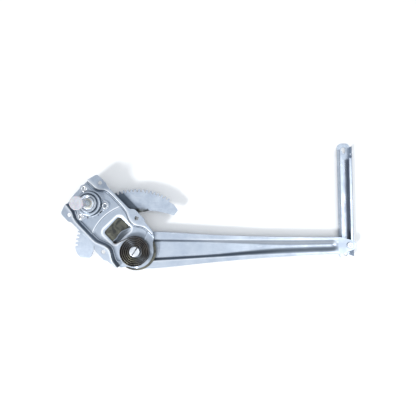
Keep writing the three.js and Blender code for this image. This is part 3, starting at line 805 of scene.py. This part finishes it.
def makeLiftArm():
    rows, half = 270, 26
    first, last = -34, 378

    def place(row, column):
        x = first + (last - first) * row / rows
        step = column - half
        inner = 18
        if abs(step) <= inner:
            y = (troughWidth(x) + 0.6) * step / inner
        else:
            rest = (abs(step) - inner) / (half - inner)
            y = math.copysign(troughWidth(x) + 0.6 + (armWidth(x) + 3 - troughWidth(x)) * rest, step)
        height = armHeight(x, y)
        out = math.copysign(arm["leanOut"] * smooth(abs(y), 1, 6) * smooth(x, 10, 20) * troughFlat(x), y)
        return (x, y, height), (x, y + out, height - arm["thickness"])

    piece = pressedSheet("liftArm", rows, 2 * half, place)
    upper = [(x, armWidth(x), 0) for x in range(0, 349, 12)]
    tip = [(349, 14.2, 6), (373.2, 6.4, 3), (373.2, -6.4, 3), (349, -14.2, 6)]
    lower = [(x, -y, 0) for x, y, _ in reversed(upper)]
    back = [(*polar(31, math.radians(turn)), 0) for turn in range(264, 90, -6)]
    boolean(piece, "INTERSECT", prism(rounded(upper[:-1] + tip + lower[1:] + back), -20, 30))
    holes = [prism(circle(7.3), -20, 30), prism(circle(4.3, rollerAt, 32), -20, 30)]
    holes += [prism(circle(4.3, polar(23, math.radians(turn)), 32), -20, 30) for turn in (100, 200, 300)]
    boolean(piece, "DIFFERENCE", *holes)
    inEditMode(piece, lambda: bpy.ops.mesh.remove_doubles(threshold=weldGap))
    chamferEdges(piece, 0.3, 2, 50)
    paint(piece, "paintedShading", armShading)
    finish(piece, "arm", armZinc, "zinc_plate", ["lift_arm"])


pivot = {"slotAngle": math.radians(54.7), "slotWidth": 1.9, "face": 21.7}
spring = {
    "inner": 10.1, "outer": 25.2, "turns": 5, "leaves": math.radians(102.7), "strip": 1.3, "bottom": 12.1,
    "width": 8.4, "shift": (-1.6, -0.4),
    "hook": [(31, -12), (31.9, -13.9), (33.2, -14.4), (35.6, -14.4), (37, -13.2)],
}


def makePivotStud():
    face = pivot["face"]
    corners = [(0, 0), (9.8, 0), (10.7, 0.5), (11, 1.2), (10.8, 2.2), (10, 2.7), (7, 2.7), (7, 11.6), (8.5, 11.6),
               (8.5, face - 0.9), (8.2, face - 0.3), (7.5, face), (0, face)]
    piece = turned("pivotStud", corners, (0, 0), 72, 0)
    reach, half = 14, pivot["slotWidth"] / 2
    box = []
    for dx, dy in ((-reach, -half), (reach, -half), (reach, half), (-reach, half)):
        box.append(polar(dy, pivot["slotAngle"] + math.pi / 2, polar(dx, pivot["slotAngle"])))
    boolean(piece, "DIFFERENCE", prism(box, 11.8, 30))
    chamferEdges(piece, 0.2, 2, 30)
    finish(piece, "arm", brightSteel, "bright_steel", ["pivot_stud"])


def makeCounterSpring():
    start = pivot["slotAngle"]
    total = spring["turns"] * 2 * math.pi + spring["leaves"] - start
    line = [(*polar(2.5, start), 1), (*polar(5, start), 1), (*polar(7.6, start), 1), (*polar(8.8, start + 0.006), 1),
            (*polar(9.6, start + 0.035), 1)]
    steps = spring["turns"] * 64
    for i in range(1, steps + 1):
        share = i / steps
        radius = spring["inner"] + (spring["outer"] - spring["inner"]) * share
        centre = [value * share for value in spring["shift"]]
        line.append((*polar(radius, start + total * share, centre), 1 - share))
    leave = line[-1]
    hook = [onPlate(*spot) for spot in spring["hook"]]
    for i in range(1, 12):
        line.append((*[a + (b - a) * i / 12 for a, b in zip(leave, hook[0])], 0))
    line += [(*spot, 0) for spot in hook]
    wide = 5

    def place(row, column):
        x, y, _ = line[row]
        return x, y, spring["bottom"] + spring["width"] * column / wide

    piece = shapedGrid("counterSpring", len(line) - 1, wide, place, lambda row: line[row][2])
    applyModifier(piece, "SOLIDIFY", thickness=spring["strip"] * mm, offset=0, use_even_offset=True)
    chamferEdges(piece, 0.25, 2, 50)
    pick(piece)
    piece.data.materials.append(springSteel)
    bpy.ops.object.shade_smooth_by_angle(angle=math.radians(35))
    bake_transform(piece)
    # each point's share of the strip's length, 1 at the stud and 0 at the tab, is read from the mark attribute, which
    # is then removed
    shares = [item.value for item in piece.data.attributes["mark"].data]
    piece.data.attributes.remove(piece.data.attributes["mark"])
    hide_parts("counter_spring")


def makePivotRings():
    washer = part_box("pivot_washer")
    low, high = washer[0].z / mm, washer[1].z / mm
    piece = turned("thrustWasher", [(9, low), (15, low), (15, high), (9, high), (9, low)], (0, 0), 64, 0.12)
    finish(piece, "base", darkSteel, "dark_steel", ["pivot_washer"])
    low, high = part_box("pivot_bush")[0].z / mm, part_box("pivot_bush")[1].z / mm
    piece = turned("pivotBush", [(7.3, low), (8.6, low), (8.6, high), (7.3, high), (7.3, low)], (0, 0), 64, 0.2)
    finish(piece, "base", bronze, "bronze", ["pivot_bush"])
    for i, turn in enumerate((100, 200, 300)):
        place = polar(23, math.radians(turn))
        corners = [(0, 1.1), (3.5, 1.15), (5.4, 1.45), (6.3, 2.0), (6.2, 2.7), (4, 2.7), (4, 8.1), (3.8, 8.3),
                   (0, 8.3)]
        piece = turned(f"sectorRivet{i + 1}", corners, place, 40, 0)
        finish(piece, "arm", brightSteel, "bright_steel", [f"sector_rivet_{i + 1}"])


def makeTipPieces():
    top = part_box("roller_stud")[1].z / mm
    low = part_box("roller_stud")[0].z / mm
    stud = [(0, low), (5.6, low), (6, low + 0.4), (6, -10.9), (4, -10.9), (4, -2.4), (7, -2.4), (7, 0.7), (4, 0.7),
            (4, top - 1.7), (5.5, top - 1.7), (5.55, top - 1.1), (5.2, top - 0.4), (4.4, top - 0.05), (3.2, top),
            (2.4, top - 0.2), (1.8, top - 0.75), (1.0, top - 1.0), (0, top - 1.0)]
    piece = turned("rollerStud", stud, rollerAt, 56, 0)
    finish(piece, "arm", brightSteel, "bright_steel", ["roller_stud"])
    low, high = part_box("roller")[0].z / mm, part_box("roller")[1].z / mm
    wheel = [(4.3, low), (7.4, low), (7.6, low + 0.25), (8.0, low), (8.9, low), (9.4, low + 0.5), (9.4, high - 0.5),
             (8.9, high), (8.0, high), (7.6, high - 0.25), (7.4, high), (4.3, high), (4.3, low)]
    piece = turned("channelRoller", wheel, rollerAt, 64, 0.1)
    finish(piece, "roller", nylon, "white_nylon", ["roller"])
    low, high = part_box("guide_washer")[0].z / mm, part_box("guide_washer")[1].z / mm
    ring = [(4.3, low), (8.6, low), (9, low + 0.3), (9, high - 0.3), (8.6, high), (4.3, high), (4.3, low)]
    piece = turned("guideRing", ring, rollerAt, 64, 0.1)
    finish(piece, "guide", nylon, "white_nylon", ["guide_washer"])


# Lift channel, in mm from the roller, with where each wall and lip starts and ends.
channel = {
    "half": 11.5, "bend": 2.2, "lip": 5.5, "sheet": 1.5, "ends": (-25.5, 177),
    "leftWall": (-13, 165.5), "rightWall": (-20, 170), "leftLip": (-9, 162), "rightLip": (-9, 150),
    "lowerHole": (0, -17.6, 3.75), "slot": (3.6, 159.6, 170.4), "wallHole": (157.4, 2.1),
}


def makeLiftChannel():
    half, bend, sheet = channel["half"], channel["bend"], channel["sheet"]
    right = [(x, channelBack) for x in (0, 1.6, 3.2, 4.8, 6.4, 8)]
    corner = [a * math.pi / 14 for a in range(8)]
    right += [(half - bend + bend * math.sin(a), channelBack + bend * (1 - math.cos(a))) for a in corner]
    right += [(half, channelBack + bend + (channelFace - channelBack - 2 * bend) * i / 4) for i in range(1, 4)]
    right += [(half - bend * (1 - math.cos(a)), channelFace - bend + bend * math.sin(a)) for a in corner]
    right += [(half - bend - (channel["lip"] - bend) * i / 3, channelFace) for i in range(1, 4)]
    profile = [(-x, z) for x, z in reversed(right[1:])] + right
    low, high = channel["ends"]
    rows = 120

    def place(row, column):
        x, z = profile[column]
        return rollerAt[0] + x, low + (high - low) * row / rows, z

    piece = shapedGrid("liftChannel", rows, len(profile) - 1, place)
    applyModifier(piece, "SOLIDIFY", thickness=sheet * mm, offset=-1, use_even_offset=True)

    def block(x0, x1, y0, y1, z0, z1):
        outline = [(rollerAt[0] + x, y) for x, y in ((x0, y0), (x1, y0), (x1, y1), (x0, y1))]
        return prism(outline, z0, z1)

    web = channelBack + sheet + 0.05
    cutters = []
    for side, wall, lip in ((-1, "leftWall", "leftLip"), (1, "rightWall", "rightLip")):
        x0, x1 = sorted((side * 5, side * 13))
        l0, l1 = sorted((side * 5, side * (half - sheet - 0.05)))
        for first, last, (start, end) in ((x0, x1, channel[wall]), (l0, l1, channel[lip])):
            cutters.append(block(first, last, low - 1, start, web, 0))
            cutters.append(block(first, last, end, high + 1, web, 0))
    x, y, radius = channel["lowerHole"]
    cutters.append(prism(circle(radius, (rollerAt[0] + x, y), 40), channelBack - 2, channelBack + 4))
    wide, start, end = channel["slot"]
    corners = [(rollerAt[0] + dx * wide, y, 3.4) for dx, y in ((-1, start), (1, start), (1, end), (-1, end))]
    cutters.append(prism(rounded(corners, 8), channelBack - 2, channelBack + 4))
    boolean(piece, "DIFFERENCE", *cutters)
    outline = [(rollerAt[0] + dx * (half + 1e-3), y, 10) for dx, y in ((-1, low), (1, low), (1, high), (-1, high))]
    boolean(piece, "INTERSECT", prism(rounded(outline, 10), channelBack - 1, 0))
    place, radius = channel["wallHole"]
    hole = prism(circle(radius, (0, 0), 28), -6, 6)
    pick(hole)
    bpy.ops.transform.rotate(value=math.pi / 2, orient_axis="Y", center_override=(0, 0, 0))
    hole.location = ((rollerAt[0] + half) * mm, place * mm, (channelBack + 6) * mm)
    bpy.ops.object.transform_apply(location=True, rotation=True, scale=True)
    boolean(piece, "DIFFERENCE", hole)
    inEditMode(piece, lambda: bpy.ops.mesh.remove_doubles(threshold=weldGap))
    chamferEdges(piece, 0.25, 2, 50)
    finish(piece, "channel", channelZinc, "zinc_plate", ["lift_channel"])


# Hidden pieces keep the frame's shapes, with softer edges.
def makeHiddenPieces():
    softened = {
        "pinion": ("spindle", "drivePinion", darkSteel, "dark_steel"),
        "drive_plate": ("spindle", "drivePlate", darkSteel, "dark_steel"),
        "pinion_clip": ("spindle", "pinionClip", springSteel, "spring_steel"),
        "spindle_bush": ("base", "spindleBush", nylon, "white_nylon"),
    }
    for node, (body, name, material, slot) in softened.items():
        piece = nodeCopy(node, name)
        chamferEdges(piece, 0.18, 2, 30)
        finish(piece, body, material, slot, [node], 40)
    coil = frame["nodes"]["brake_spring"]
    coil.data.materials.clear()
    coil.data.materials.append(springSteel)


makeBasePlate()
makeDrumHousing()
makeEyelets()
makeSpindle()
makeCap()
print("plate and drum made")
makeSectorGear()
makeLiftArm()
makePivotStud()
makeCounterSpring()
makePivotRings()
print("arm and spring made")
makeTipPieces()
makeLiftChannel()
makeHiddenPieces()
print("channel made")

studio = {
    "floorDrop": 0.05, "floorSize": 8, "cameraAt": (122.5, 69.2, 476), "roll": -1.34, "lens": 24.0,
    "lampAim": (0.12, 0.03),
    "lamps": {"keyLamp": ((-1.0, -0.95, 1.3), 0.4, 24), "tipLamp": ((1.0, -0.15, 1.15), 0.9, 4.5),
              "topLamp": ((0.25, 0.2, 1.7), 1.6, 4)},
}


def makeFloor():
    deselectAll()
    place = (0.12, 0.07, (channelBack - studio["floorDrop"]) * mm)
    bpy.ops.mesh.primitive_plane_add(size=studio["floorSize"], location=place)
    floor = bpy.context.object
    floor.name = "floor"
    material, tree, shader = newMaterial("floorPaint", 0.0, Roughness=0.9)
    shader.inputs["Base Color"].default_value = (0.95, 0.95, 0.95, 1)
    floor.data.materials.append(material)


def addLamp(name, at, size, power):
    deselectAll()
    bpy.ops.object.light_add(type="AREA", location=at)
    lamp = bpy.context.object
    lamp.name = name
    lamp.data.shape = "DISK"
    lamp.data.size = size
    lamp.data.energy = power
    aim = (studio["lampAim"][0] - at[0], studio["lampAim"][1] - at[1], -at[2])
    length = math.sqrt(sum(value * value for value in aim))
    lamp.rotation_euler = (math.acos(-aim[2] / length), 0, math.atan2(-aim[0], aim[1]))


def makeStudio():
    makeFloor()
    for name, (at, size, power) in studio["lamps"].items():
        addLamp(name, at, size, power)
    world = bpy.data.worlds.new("studioWorld")
    world.use_nodes = True
    tree = world.node_tree
    direction = addNode(tree, "ShaderNodeTexCoord").outputs["Generated"]
    split = addNode(tree, "ShaderNodeSeparateXYZ", _0=direction)
    lift = rangeOf(tree, split.outputs["Z"], 0.1, 0.85)
    side = rangeOf(tree, split.outputs["X"], -0.5, 0.5)
    sky = mixed(tree, side, (0.42, 0.46, 0.51, 1), (1.0, 1.05, 1.1, 1))
    front = rangeOf(tree, sums(tree, "ADD", split.outputs["X"], split.outputs["Y"]), -0.8, 0.8)
    edge = mixed(tree, front, (0.34, 0.33, 0.33, 1), (0.03, 0.045, 0.07, 1))
    tone = mixed(tree, lift, edge, sky)
    back = tree.nodes["Background"]
    tree.links.new(tone, back.inputs["Color"])
    back.inputs["Strength"].default_value = 1.0
    bpy.context.scene.world = world
    deselectAll()
    bpy.ops.object.camera_add(location=[value * mm for value in studio["cameraAt"]],
                              rotation=(0, 0, math.radians(studio["roll"])))
    camera = bpy.context.object
    camera.data.lens = studio["lens"]
    camera.data.sensor_width = 36
    camera.data.clip_start = 0.01
    bpy.context.scene.camera = camera
    bpy.context.scene.view_settings.view_transform = "Standard"
    print("studio made")


makeStudio()
